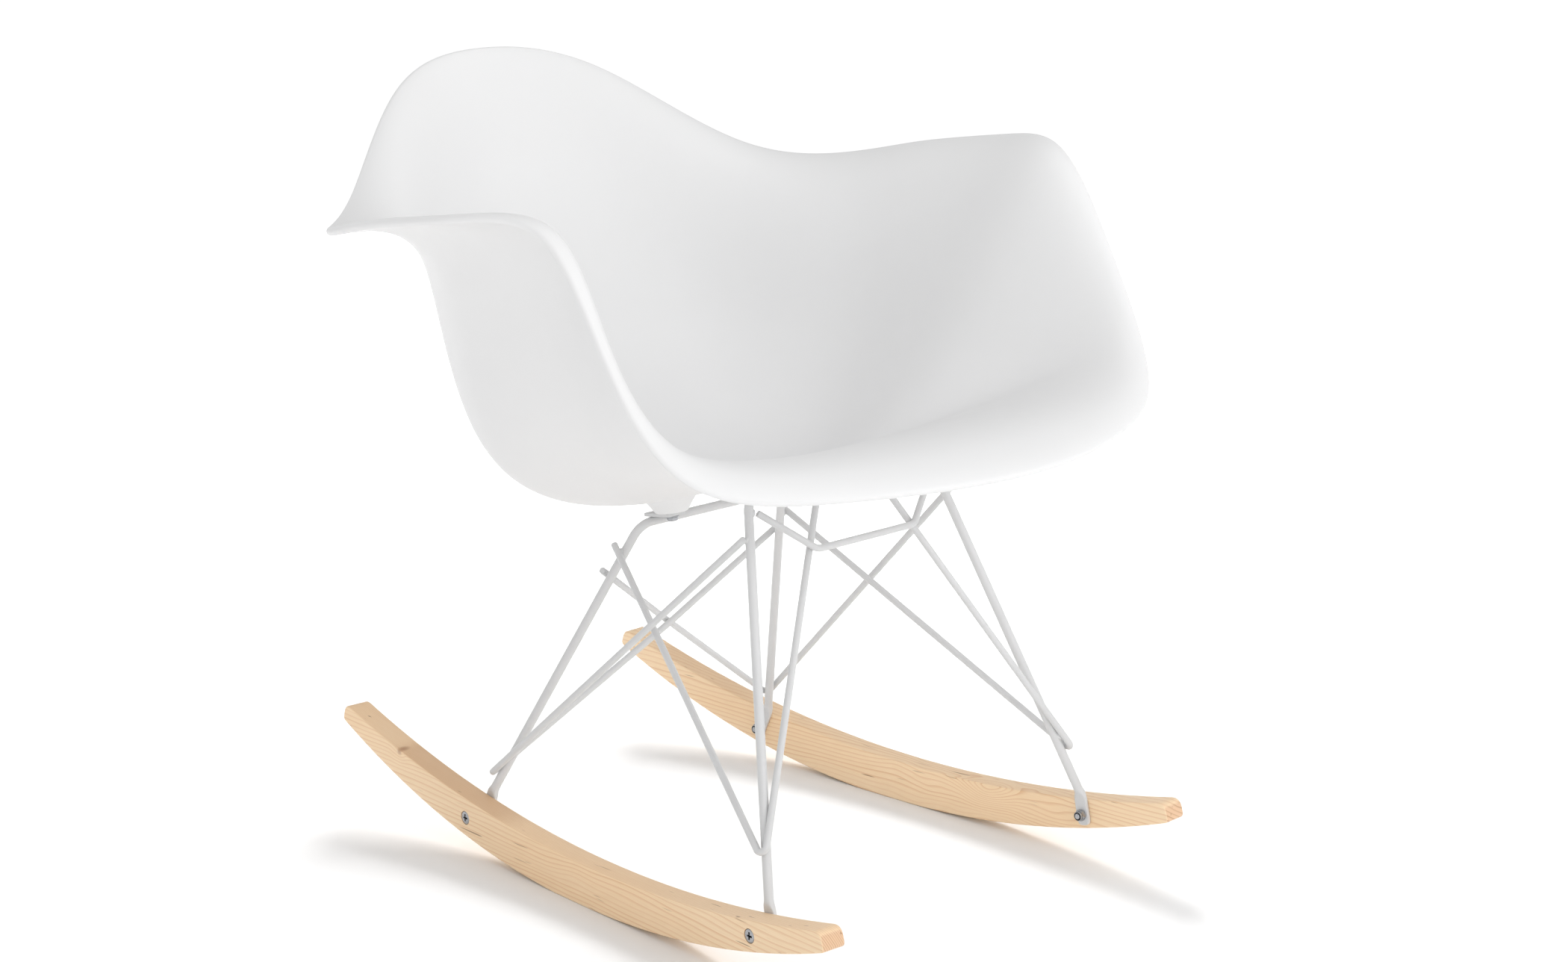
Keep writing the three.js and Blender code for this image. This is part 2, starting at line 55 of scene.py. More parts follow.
ROD_R, ROD_BEND, ROD_SIDES = 4.0, 18.0, 32
WIRE_R, V_BEND, CORNER_BEND, BOW_BEND = 3.0, 5.0, 12.0, 60.0

OUTER_X, TOE, RUNNER_WIDTH, RUNNER_EASE = 199.3, math.atan(0.0502), 22.6, 1.3
FLAT_FROM, FLAT_TO = -12.0, 44.0
FRONT_ARC = (0.0, 940.0)  # lowest point's y, radius
REAR_ARC = (6.0, 905.0)
TOP_ARC = (-15.0, 1340.0)
TOP_LOW = 37.8
FRONT_END = (-314.2, -309.8)  # y of the sharp lower and upper corner
REAR_END = (374.5, 369.0)

TAB_HALF, TAB_THICK, TAB_BELOW, TAB_HOLE = 6.4, 3.5, 9.5, 3.0
TAB_SQUARE = 0.4  # 1 is a half round end, 0 a square one
# Places along a hammered end, from the foot: down the tab is plus, up the leg is minus.
TAB_FLATTENS, TAB_TURNS = (-4, 8), (-4, 4)
TAB_STATIONS = (16, 12, 9, 6, 4, 2, 0, -2, -4, -6, -8, -10, -13)
TAB_TIP_ANGLES = (86, 78, 68, 56, 42, 28, 14)  # degrees round the tab's lower end
RODS = {
    "front": {"foot": (-218.5, 60.0), "bolt": (-222.5, 40.5), "corner": (104.6, -113.7, 363.0)},
    "rear": {"foot": (164.8, 56.0), "bolt": (176.0, 32.5), "corner": (83.4, 49.0, 306.0)},
}
FRONT_STRUT = np.array([[97.5, 68.5, 287], [187, -216, 92.8], [31.5, -121.2, 361]])
REAR_STRUT = np.array([[120.8, -126, 331.5], [169.5, 168, 68], [-103, 79, 262.5]])
CROSSING_BOW = WIRE_R + 3 * GAP  # how far each rear strut bows to pass the other
BRACE = np.array([[101.4, -121.6, 349], [56.2, -145, 314.4]])

MOUNT_X, MOUNT_TILT, PLATE_THICK = 62.5, math.radians(-8.5), 3
SCREW_TO_ROD = {"front": -17.7, "rear": 19.0}
BOSS_TIP, BOSS_SLOPE = 14.5, 0.69

WALL, EDGE, EDGE_BAND = 4.8, 7.6, 0.1
PAN = np.array([0.0, -28.0, 350.0])
PAN_SLOPE, PAN_REACH = 0.45, 0.45
# Curves of the left half from front centre to back centre: foot, shoulder and rim.
FAN = np.array([
    [[0, -195, 405], [0, -275, 450], [0, -325, 400]],
    [[120, -190, 405], [160, -255, 445], [165, -280, 400]],
    [[220, -160, 400], [235, -220, 455], [265, -220, 425]],
    [[265, -90, 360], [250, -170, 495], [290, -155, 520]],
    [[275, -10, 330], [225, -105, 610], [295, -95, 600]],
    [[275, 70, 305], [200, -40, 605], [315, -10, 605]],
    [[290, 140, 285], [170, 35, 605], [315, 95, 590]],
    [[280, 220, 280], [125, 90, 605], [305, 170, 575]],
    [[205, 285, 280], [110, 195, 620], [225, 250, 585]],
    [[110, 300, 280], [65, 290, 645], [115, 330, 660]],
    [[0, 290, 280], [0, 330, 635], [0, 360, 685]],
], float)


# ---- materials ----------------------------------------------------------------------------

class Nodes:
    """A material being built, with short calls for its nodes and links."""

    def __init__(self, name):
        self.material = bpy.data.materials.new(name)
        self.material.use_nodes = True
        self.tree = self.material.node_tree
        self.shader = self.tree.nodes["Principled BSDF"]

    def add(self, kind, **inputs):
        node = self.tree.nodes.new("ShaderNode" + kind)
        for key, value in inputs.items():
            by_number = key[0] == "i" and key[1:].isdigit()
            self.feed(node.inputs[int(key[1:]) if by_number else key], value)
        return node

    def feed(self, socket, value):
        if isinstance(value, bpy.types.NodeSocket):
            self.tree.links.new(value, socket)
        else:
            socket.default_value = value

    def math(self, operation, *values):
        node = self.tree.nodes.new("ShaderNodeMath")
        node.operation = operation
        for socket, value in zip(node.inputs, values):
            self.feed(socket, value)
        return node.outputs[0]

    def place(self, scale=(1, 1, 1), shift=(0, 0, 0), turn=(0, 0, 0)):
        coords = self.tree.nodes.new("ShaderNodeTexCoord").outputs["Object"]
        mapping = self.add("Mapping", Vector=coords, Location=shift, Rotation=turn, Scale=scale)
        return mapping.outputs[0]

    def noise(self, where, scale, detail=2.0, roughness=0.5):
        node = self.add("TexNoise", Vector=where, Scale=scale, Detail=detail, Roughness=roughness)
        return node.outputs["Fac"]

    def span(self, value, low, high, to_low=0.0, to_high=1.0, smooth=False):
        node = self.tree.nodes.new("ShaderNodeMapRange")
        if smooth:
            node.interpolation_type = "SMOOTHSTEP"
        for key, given in zip(("Value", "From Min", "From Max", "To Min", "To Max"),
                              (value, low, high, to_low, to_high)):
            self.feed(node.inputs[key], given)
        return node.outputs[0]

    def mix(self, share, first, second):
        """A colour between two. A mix node's colours have these numbers among its sockets."""
        factor, colour_a, colour_b, result = 0, 6, 7, 2
        node = self.tree.nodes.new("ShaderNodeMix")
        node.data_type = "RGBA"
        self.feed(node.inputs[factor], share)
        self.feed(node.inputs[colour_a], first)
        self.feed(node.inputs[colour_b], second)
        return node.outputs[result]

    def bump(self, height, strength, distance, under=None):
        node = self.add("Bump", Height=height, Strength=strength, Distance=distance)
        if under is not None:
            self.feed(node.inputs["Normal"], under)
        return node.outputs[0]

    def set(self, **inputs):
        for key, value in inputs.items():
            self.feed(self.shader.inputs[key.replace("_", " ")], value)
        return self.material


def shell_plastic():
    """White polypropylene with a very fine spark-eroded texture and faint flow marks."""
    n = Nodes("shell_plastic")
    at = n.place()
    cloud = n.noise(at, 9.0, 3.0)
    colour = n.mix(cloud, (0.785, 0.785, 0.788, 1), (0.805, 0.805, 0.806, 1))
    grain = n.noise(at, 1500.0, 2.0, 0.6)
    pebble = n.noise(at, 420.0, 2.0, 0.5)
    rough = n.span(n.noise(at, 60.0, 3.0), 0.3, 0.7, 0.5, 0.58)
    low = n.bump(pebble, 0.18, 0.00012)
    normal = n.bump(grain, 0.25, 0.00008, low)
    n.shader.inputs["Specular IOR Level"].default_value = 0.42
    return n.set(Base_Color=colour, Roughness=rough, Normal=normal)


def powder_coat():
    """Smooth white powder coat: a faint orange peel, a little glossier than the shell."""
    n = Nodes("powder_coat")
    at = n.place()
    colour = n.mix(n.noise(at, 30.0, 2.0), (0.62, 0.622, 0.625, 1), (0.66, 0.662, 0.664, 1))
    peel = n.noise(at, 650.0, 2.0, 0.55)
    speck = n.noise(at, 2200.0, 1.0)
    normal = n.bump(speck, 0.08, 0.00002, n.bump(peel, 0.1, 0.00004))
    rough = n.span(n.noise(at, 180.0, 2.0), 0.3, 0.7, 0.3, 0.4)
    n.shader.inputs["Specular IOR Level"].default_value = 0.5
    return n.set(Base_Color=colour, Roughness=rough, Normal=normal)


def maple(name, toe, lay, shift, curls, knot, tone_and_shade_top):
    """Lacquered maple. Growth rings are layers crossed by the faces: their lines run straight
    down the board, wander slowly, curl over one stretch and bend round a small knot."""
    n = Nodes(name)
    bare = n.place()
    board = n.place(shift=shift, turn=(0, 0, toe))
    slow = n.add("Mapping", Vector=board, Scale=(1.0, 0.22, 1.0)).outputs[0]
    axes = n.add("SeparateXYZ", Vector=board).outputs
    y = n.add("SeparateXYZ", Vector=bare).outputs[1]
    lines = n.math("ADD", n.math("MULTIPLY", axes[0], lay[0]), n.math("MULTIPLY", axes[2], lay[1]))
    wander = n.math("MULTIPLY", n.math("SUBTRACT", n.noise(slow, 22.0, 2.0, 0.45), 0.5), 4.5)
    front, front_full, rear_full, rear, amount = curls
    stretch = n.math("MULTIPLY", n.span(y, front, front_full, 0.0, 1.0, True),
                     n.span(y, rear_full, rear, 1.0, 0.0, True))
    curl_at = n.add("Mapping", Vector=board, Scale=(1.0, 0.55, 1.0)).outputs[0]
    curl = n.math("MULTIPLY", n.math("SUBTRACT", n.noise(curl_at, 24.0, 1.5, 0.4), 0.5), amount)
    at, reach, pull = knot
    scale = [1 / r for r in reach]
    offset = [-p * k for p, k in zip(at, scale)]
    from_knot = n.add("VectorMath", i0=n.place(scale=scale, shift=offset))
    from_knot.operation = "LENGTH"
    away = from_knot.outputs["Value"]
    bulge = n.math("EXPONENT", n.math("MULTIPLY", n.math("MULTIPLY", away, away), -1.0))
    phase = n.math("ADD", n.math("ADD", lines, wander), n.math("MULTIPLY", curl, stretch))
    phase = n.math("ADD", phase, n.math("MULTIPLY", bulge, pull))
    ring = n.math("FRACT", phase)
    late = n.math("MULTIPLY", n.span(ring, 0.5, 0.93, 0.0, 1.0, True),
                  n.span(ring, 0.94, 1.0, 1.0, 0.0, True))
    year = n.noise(n.add("CombineXYZ", X=n.math("FLOOR", phase)).outputs[0], 0.37, 0.0)
    late = n.math("MULTIPLY", late, n.span(year, 0.3, 0.7, 0.3, 1.0))

    fibre_at = n.add("Mapping", Vector=board, Scale=(1.0, 0.035, 1.0)).outputs[0]
    fibre = n.noise(fibre_at, 1500.0, 3.0, 0.6)
    fleck_at = n.add("Mapping", Vector=board, Scale=(1.0, 0.06, 1.0)).outputs[0]
    fleck = n.span(n.noise(fleck_at, 330.0, 1.0, 0.4), 0.735, 0.79)
    patch = n.span(n.noise(slow, 14.0, 3.0), 0.3, 0.7)
    heart = n.span(away, 0.5, 0.12, 0.0, 1.0, True)

    colour = n.mix(patch, (0.98, 0.775, 0.54, 1), (0.95, 0.70, 0.45, 1))
    colour = n.mix(n.math("MULTIPLY", late, 0.72), colour, (0.74, 0.415, 0.205, 1))
    colour = n.mix(n.span(fibre, 0.3, 0.75, 0.0, 0.22), colour, (0.68, 0.44, 0.22, 1))

    facing = n.tree.nodes.new("ShaderNodeNewGeometry").outputs["Normal"]
    facing = n.add("SeparateXYZ", Vector=facing).outputs
    end_grain = n.span(n.math("ABSOLUTE", facing[1]), 0.6, 0.85, 0.0, 1.0, True)
    end_tone = n.mix(late, (0.74, 0.48, 0.30, 1), (0.40, 0.20, 0.10, 1))
    colour = n.mix(n.math("MULTIPLY", end_grain, 0.85), colour, end_tone)
    # The top face darkens over one stretch, partly the wood's tone and partly painted shade.
    tone_and_shade_front, tone_and_shade_rear, tone_and_shade_share = tone_and_shade_top
    top_face = n.span(facing[2], 0.6, 0.9, 0.0, 1.0, True)
    toned_and_shaded = n.math("MULTIPLY", n.span(y, tone_and_shade_front, tone_and_shade_front + 0.05, 0.12, tone_and_shade_share, True),
                    n.span(y, tone_and_shade_rear - 0.01, tone_and_shade_rear + 0.01, 1.0, 0.35, True))
    colour = n.mix(n.math("MULTIPLY", top_face, toned_and_shaded), colour, (0.50, 0.265, 0.125, 1))
    colour = n.mix(n.math("MULTIPLY", heart, 0.7), colour, (0.34, 0.15, 0.075, 1))
    colour = n.mix(n.math("MULTIPLY", fleck, 0.7), colour, (0.26, 0.12, 0.055, 1))

    rough = n.span(fibre, 0.2, 0.8, 0.36, 0.48)
    grain = n.bump(fibre, 0.25, 0.00006)
    pores = n.bump(fleck, -0.3, 0.00008, grain)
    normal = n.bump(late, -0.12, 0.00005, pores)
    n.shader.inputs["Specular IOR Level"].default_value = 0.42
    return n.set(Base_Color=colour, Roughness=rough, Normal=normal)


def zinc_steel():
    """Zinc plate with fine turning marks, faint clouding and painted shade darkening its recesses.
    """
    n = Nodes("zinc_steel")
    at = n.place()
    cloud = n.noise(at, 500.0, 3.0)
    colour = n.mix(cloud, (0.36, 0.37, 0.39, 1), (0.50, 0.51, 0.53, 1))
    # Painted shade: ambient occlusion darkens the recesses nearly to black.
    painted_recess_shade = n.tree.nodes.new("ShaderNodeAmbientOcclusion")
    painted_recess_shade.only_local = True
    painted_recess_shade.inputs["Distance"].default_value = 0.002
    colour = n.mix(n.span(painted_recess_shade.outputs["AO"], 0.4, 0.85), (0.02, 0.02, 0.022, 1), colour)
    brushed = n.noise(n.place(scale=(1, 6, 1)), 1400.0, 2.0, 0.6)
    rough = n.span(brushed, 0.3, 0.7, 0.24, 0.38)
    normal = n.bump(brushed, 0.2, 0.00003)
    n.shader.inputs["Metallic"].default_value = 1.0
    return n.set(Base_Color=colour, Roughness=rough, Normal=normal)


def turned_brass():
    n = Nodes("turned_brass")
    at = n.place()
    colour = n.mix(n.noise(at, 700.0, 3.0), (0.62, 0.42, 0.16, 1), (0.74, 0.54, 0.24, 1))
    turning = n.noise(n.place(scale=(0.2, 0.2, 8)), 600.0, 2.0)
    n.shader.inputs["Metallic"].default_value = 1.0
    return n.set(Base_Color=colour, Roughness=n.span(turning, 0.3, 0.7, 0.25, 0.42),
                 Normal=n.bump(turning, 0.3, 0.00004))


def dark_nylon():
    n = Nodes("dark_nylon")
    at = n.place()
    colour = n.mix(n.noise(at, 800.0, 2.0), (0.014, 0.015, 0.018, 1), (0.03, 0.031, 0.035, 1))
    return n.set(Base_Color=colour, Roughness=n.span(n.noise(at, 400.0, 2.0), 0.3, 0.7, 0.4, 0.6),
                 Normal=n.bump(n.noise(at, 1800.0, 2.0), 0.3, 0.00003))


SHELL = shell_plastic()
COAT = powder_coat()
ZINC = zinc_steel()
BRASS = turned_brass()
NYLON = dark_nylon()
MAPLE = {
    # ring lines per metre across x and z, their offset, the stretch that curls and how much,
    # the knot with its reach and its pull on the lines, and the stretch whose top is darker,
    # partly the wood's tone and partly painted shade
    "right": maple("maple_right", TOE, (480, 235), (0.011, 0.02, 0.004),
                   (-0.05, 0.0, 0.02, 0.06, 3.0),
                   ((-0.181, 0.257, 0.069), (0.020, 0.011, 0.010), 1.5), (0.07, 0.26, 0.5)),
    "left": maple("maple_left", -TOE, (150, 215), (-0.006, -0.03, 0.01),
                  (-0.30, -0.16, -0.09, 0.03, 9.0),
                  ((0.172, -0.136, 0.046), (0.016, 0.045, 0.024), 8.0), (0.15, 0.30, 0.3)),
}


# ---- meshes -------------------------------------------------------------------------------

class Body:
    """Points and faces in millimetres. Bodies add up to one."""

    def __init__(self, points, faces):
        self.points = np.asarray(points, float)
        self.faces = [list(face) for face in faces]

    def __add__(self, other):
        start = len(self.points)
        moved = [[i + start for i in face] for face in other.faces]
        return Body(np.vstack([self.points, other.points]), self.faces + moved)

    def placed(self, matrix):
        turned = self.points @ np.array(matrix.to_3x3()).T + np.array(matrix.translation)
        return Body(turned, self.faces)

    def mirrored(self):
        return Body(self.points * MIRROR, [face[::-1] for face in self.faces])

    def on(self, side):
        return self if side == LEFT else self.mirrored()

    def flipped(self):
        return Body(self.points, [face[::-1] for face in self.faces])

    def to_mesh(self, name):
        mesh = bpy.data.meshes.new(name)
        placed = (self.points - [0, CENTRE_Y, 0]) * MM
        mesh.from_pydata(placed.tolist(), [], self.faces)
        mesh.validate()
        mesh.update()
        return mesh


def skin(rings, first=None, last=None):
    """A closed skin over rings of equal size, fanned to a point at each end."""
    rings = np.asarray(rings, float)
    count, size = rings.shape[:2]
    first = rings[0].mean(0) if first is None else first
    last = rings[-1].mean(0) if last is None else last
    points = np.vstack([rings.reshape(-1, 3), [first, last]])
    head, tail = count * size, count * size + 1
    faces = []
    for i in range(size):
        j = (i + 1) % size
        faces.append((head, j, i))
        faces.append((tail, (count - 1) * size + i, (count - 1) * size + j))
        for r in range(count - 1):
            a, b = r * size, (r + 1) * size
            faces.append((a + i, a + j, b + j, b + i))
    return Body(points, faces)


def make(name, body, material, slot, *nodes, sharp=35):
    """One visible piece that stands for the CAD nodes named."""
    mesh = body.to_mesh(name)
    mesh.materials.append(material)
    mesh.shade_smooth()
    mesh.set_sharp_from_angle(angle=math.radians(sharp))
    obj = bpy.data.objects.new(name, mesh)
    bpy.context.collection.objects.link(obj)
    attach(obj, "root")
    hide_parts(*nodes)


def combine(body, operation, *tools):
    """A body joined to, cut by or limited to each tool: UNION, DIFFERENCE or INTERSECT."""
    obj = bpy.data.objects.new("work", body.to_mesh("work"))
    others = [bpy.data.objects.new("tool", tool.to_mesh("tool")) for tool in tools]
    for each in [obj, *others]:
        bpy.context.collection.objects.link(each)
    for other in others:
        modifier = obj.modifiers.new("work", "BOOLEAN")
        modifier.operation = operation
        modifier.solver = "EXACT"
        modifier.object = other
    evaluated = obj.evaluated_get(bpy.context.evaluated_depsgraph_get())
    result = evaluated.to_mesh()
    points = np.array([v.co for v in result.vertices]) / MM + [0, CENTRE_Y, 0]
    made = Body(points, [list(p.vertices) for p in result.polygons])
    evaluated.to_mesh_clear()
    for each in [obj, *others]:
        mesh = each.data
        bpy.data.objects.remove(each)
        bpy.data.meshes.remove(mesh)
    return made


def unit(vector):
    return vector / np.linalg.norm(vector)


# ---- turned and flat shapes ----------------------------------------------------------------

def turned(profile, sides=48):
    """A turned body on z from [radius, z] pairs, foot first, starting and ending on the axis."""
    angles = np.arange(sides) * 2 * math.pi / sides
    inner = [(r, z) for r, z in profile if r > 0]
    rings = [[(r * math.cos(a), r * math.sin(a), z) for a in angles] for r, z in inner]
    return skin(rings, (0, 0, profile[0][1]), (0, 0, profile[-1][1]))


def loop(profile, sides=48):
    """A turned body on z from a closed loop of [radius, z] pairs, outer side going up."""
    angles = np.arange(sides) * 2 * math.pi / sides
    points = [(r * math.cos(a), r * math.sin(a), z) for r, z in profile for a in angles]
    faces = []
    for k in range(len(profile)):
        for i in range(sides):
            a, b = k * sides, (k + 1) % len(profile) * sides
            j = (i + 1) % sides
            faces.append((a + i, a + j, b + j, b + i))
    return Body(points, faces)


def ring(inner, outer, low, high, ease=0.15):
    """A flat ring on z with eased edges."""
    return loop([(inner, low + ease), (inner + ease, low), (outer - ease, low),
                 (outer, low + ease), (outer, high - ease), (outer - ease, high),
                 (inner + ease, high), (inner, high - ease)])


def pin(r, low, high, sides=48):
    return turned([(0, low), (r, low), (r, high), (0, high)], sides)


def board(outline, low, high, ease, steps=4):
    """A plate on z from an outline of (x, y) pairs going anticlockwise, its edges rounded."""
    outline = np.asarray(outline, float)
    along = np.roll(outline, -1, 0) - np.roll(outline, 1, 0)
    along /= np.linalg.norm(along, axis=1)[:, None]
    inward = np.stack([-along[:, 1], along[:, 0]], 1)
    quarter = [math.pi / 2 * k / steps for k in range(steps + 1)]
    levels = [(low, ease * 1.4)]
    levels += [(low + ease * (1 - math.cos(a)), ease * (1 - math.sin(a))) for a in quarter]
    levels += [(high - ease * (1 - math.cos(a)), ease * (1 - math.sin(a))) for a in quarter[::-1]]
    levels += [(high, ease * 1.4)]
    rings = [np.column_stack([outline + inward * inset, np.full(len(outline), z)])
             for z, inset in levels]
    count, size = len(rings), len(outline)
    faces = [tuple(range(size))[::-1], tuple(range((count - 1) * size, count * size))]
    for r in range(count - 1):
        for i in range(size):
            j = (i + 1) % size
            faces.append((r * size + i, r * size + j, (r + 1) * size + j, (r + 1) * size + i))
    return Body(np.vstack(rings), faces)


def arc(x, y, r, start, end, count):
    angles = np.linspace(start, end, count)
    return np.stack([x + r * np.cos(angles), y + r * np.sin(angles)], 1)


# ---- bent rod ------------------------------------------------------------------------------

def bent(corners, radii, steps=14):
    """Points and directions along a line of corners, with each inner corner rounded."""
    stations = [(corners[0], unit(corners[1] - corners[0]))]
    for before, corner, after, r in zip(corners, corners[1:], corners[2:], radii):
        arriving, leaving = unit(corner - before), unit(after - corner)
        angle = math.acos(float(np.clip(arriving @ leaving, -1, 1)))
        outward = unit(arriving - leaving)
        centre = corner - outward * r / math.cos(angle / 2)
        axis = unit(np.cross(arriving, leaving))
        for k in range(steps + 1):
            turn = angle * (k / steps - 0.5)
            spoke = outward * math.cos(turn) + np.cross(axis, outward) * math.sin(turn)
            stations.append((centre + spoke * r, np.cross(axis, spoke)))
    stations.append((corners[-1], unit(corners[-1] - corners[-2])))
    return stations


def section(at, along, wide, half_wide, half_thick, squareness=2.0, sides=24):
    """One closed ring across a rod: round, or flattened where it is hammered to a tab."""
    across = unit(wide - along * (wide @ along))
    thin = np.cross(along, across)
    points = []
    for k in range(sides):
        c, s = math.cos(2 * math.pi * k / sides), math.sin(2 * math.pi * k / sides)
        u = math.copysign(abs(c) ** (2 / squareness), c) * half_wide
        v = math.copysign(abs(s) ** (2 / squareness), s) * half_thick
        points.append(at + across * u + thin * v)
    return points


CUT_EASE = 0.6  # a wire's cut ends lose their sharp edge


def eased_end(end, inward, along, wide, r):
    """Rings of a wire's cut end, from the cut inwards."""
    rings = []
    for depth, loss in ((0, 1), (0.3, 0.3), (1, 0)):
        half = r - CUT_EASE * loss
        rings.append(section(end + inward * CUT_EASE * depth, along, wide, half, half))
    return rings


def round_wire(corners, radii, r, wide):
    """A round wire with sawn and slightly eased ends."""
    stations = bent(corners, radii)
    rings = [section(at, along, wide, r, r) for at, along in stations]
    (start, start_along), (end, end_along) = stations[0], stations[-1]
    head = eased_end(start, start_along, start_along, wide, r)
    tail = eased_end(end, -end_along, end_along, wide, r)
    return skin(head + rings[1:-1] + tail[::-1])


def polyline(stations):
    return np.array([at for at, _ in stations])


def nearest(first, second):
    """The closest points of two lines of points."""
    def dense(line):
        pieces = [a + (b - a) * np.linspace(0, 1, max(2, int(np.linalg.norm(b - a))))[:, None]
                  for a, b in zip(line, line[1:])]
        return np.vstack(pieces)
    a, b = dense(first), dense(second)
    gaps = np.linalg.norm(a[:, None] - b[None], axis=2)
    i, j = np.unravel_index(gaps.argmin(), gaps.shape)
    return a[i], b[j], float(gaps[i, j])


def weld(a, b, along_a, along_b, size):
    """A small bead of weld in the corner between two rods that touch."""
    middle = (a + b) / 2
    across = unit(b - a)
    run = unit(along_a + along_b * math.copysign(1, along_a @ along_b))
    side = unit(np.cross(across, run))
    run = np.cross(side, across)
    bulge = [(math.cos(t), math.sin(t)) for t in np.linspace(-1.4, 1.4, 11)]
    bead = turned([(0, -1), *bulge, (0, 1)], 20)
    height, length = 0.8, 1.5  # over its width
    axes = np.stack([across * size * height, side * size, run * size * length], 1)
    return Body(bead.points @ axes.T + middle, bead.faces)


# ---- runners -------------------------------------------------------------------------------

# In the runner's frame x runs to the chair's back, y up and z out of the left runner's face.
RUNNER_FRAME = (
    Matrix.Translation((OUTER_X, 0, 0))
    @ Matrix.Rotation(TOE, 4, "Z")
    @ Matrix(((0, 0, 1, 0), (1, 0, 0, 0), (0, 1, 0, 0), (0, 0, 0, 1)))
)


def along_runner(y):
    return y / math.cos(TOE)


def on_tab(y, z):
    """A point in the middle of the left tabs' thickness, against the runner's inner face."""
    inside = -RUNNER_WIDTH - GAP - TAB_THICK / 2
    return np.array(RUNNER_FRAME @ Vector((along_runner(y), z, inside)))


def sag(arc_of, y):
    """How far an arc, given by its lowest point's y and its radius, has risen at y."""
    lowest, r = arc_of
    return r - math.sqrt(r * r - (y - lowest) ** 2)


def underside(y):
    if y < FLAT_FROM:
        return (y, sag(FRONT_ARC, y) - sag(FRONT_ARC, FLAT_FROM))
    if y > FLAT_TO:
        return (y, sag(REAR_ARC, y) - sag(REAR_ARC, FLAT_TO))
    return (y, 0.0)


def topside(y):
    return (y, TOP_LOW + sag(TOP_ARC, y))


def turn_corner(start, sharp, end, steps=8):
    """A curve from start to end that rounds the sharp corner between them."""
    start, sharp, end = (np.array(p, float) for p in (start, sharp, end))
    ts = np.linspace(0, 1, steps + 1)[:, None]
    return (1 - ts) ** 2 * start + 2 * ts * (1 - ts) * sharp + ts**2 * end


def step_to(start, end, distance):
    """The point at a distance from start on the way to end."""
    start, end = np.array(start, float), np.array(end, float)
    return start + (end - start) * distance / np.linalg.norm(end - start)


def runner_outline():
    """The runner from the side: flat and two arcs below, one arc above, four rounded corners."""
    small, large = 4.0, 9.0
    front_points, rear_points, top_points = 26, 30, 56
    low_front, low_rear = FRONT_END[0], REAR_END[0]
    high_front, high_rear = FRONT_END[1], REAR_END[1]
    below = [*np.linspace(low_front + small, FLAT_FROM, front_points),
             *np.linspace(FLAT_TO, low_rear - small, rear_points)]
    above = np.linspace(high_rear - large, high_front + large, top_points)
    bottom, top = np.array([underside(y) for y in below]), np.array([topside(y) for y in above])
    rear_low, rear_high = underside(low_rear), topside(high_rear)
    front_low, front_high = underside(low_front), topside(high_front)
    parts = [
        bottom[:-1],
        turn_corner(bottom[-1], rear_low, step_to(rear_low, rear_high, small)),
        turn_corner(step_to(rear_high, rear_low, large), rear_high, top[0]),
        top[1:-1],
        turn_corner(top[-1], front_high, step_to(front_high, front_low, large)),
        turn_corner(step_to(front_low, front_high, small), front_low, bottom[0])[:-1],
    ]
    return np.vstack(parts)


def bolt_place(rod):
    y, z = RODS[rod]["bolt"]
    return RUNNER_FRAME @ Matrix.Translation((along_runner(y), z, 0))


def runner():
    """The runner with its two bolt holes, each counterbored from outside."""
    blank = board(runner_outline(), -RUNNER_WIDTH, 0, RUNNER_EASE).placed(RUNNER_FRAME)
    bore, counterbore, deep, ease, past = 3, 6.2, 3, 0.3, 1
    inside, mouth = -RUNNER_WIDTH - past, counterbore + 2 * ease
    hole = turned([(0, inside), (bore, inside), (bore, -deep), (counterbore, -deep),
                   (counterbore, -ease), (mouth, ease), (mouth, past), (0, past)])
    return combine(blank, "DIFFERENCE", *[hole.placed(bolt_place(rod)) for rod in RODS])


# ---- bolts through the runners -------------------------------------------------------------

def cross_recess(half_long, half_wide, top, bottom, taper=0.4):
    """A tapered cross, as a screwdriver leaves its place in a screw's head."""
    corner = [(half_long, -half_wide), (half_long, half_wide), (half_wide, half_wide)]
    outline = [Matrix.Rotation(k * math.pi / 2, 2) @ Vector(p) for k in range(4) for p in corner]
    rings = [[(p.x * s, p.y * s, z) for p in outline] for s, z in ((taper, bottom), (1.0, top))]
    return skin(rings)


def runner_bolt():
    """A flat-headed machine screw, its head just under the wood."""
    profile = [(0, -33.5), (2.1, -33.5), (2.5, -33.1), (2.5, -2.6), (5.5, -2.6), (5.8, -2.3),
               (5.8, -0.9), (5.65, -0.5), (5.2, -0.28), (4.3, -0.18), (2.5, -0.14), (0, -0.13)]
    return combine(turned(profile), "DIFFERENCE", cross_recess(3.7, 0.95, 0.3, -3.4))


NUT_FACE = -(RUNNER_WIDTH + TAB_THICK + 2 * GAP)
NUT_END = NUT_FACE - 6.0


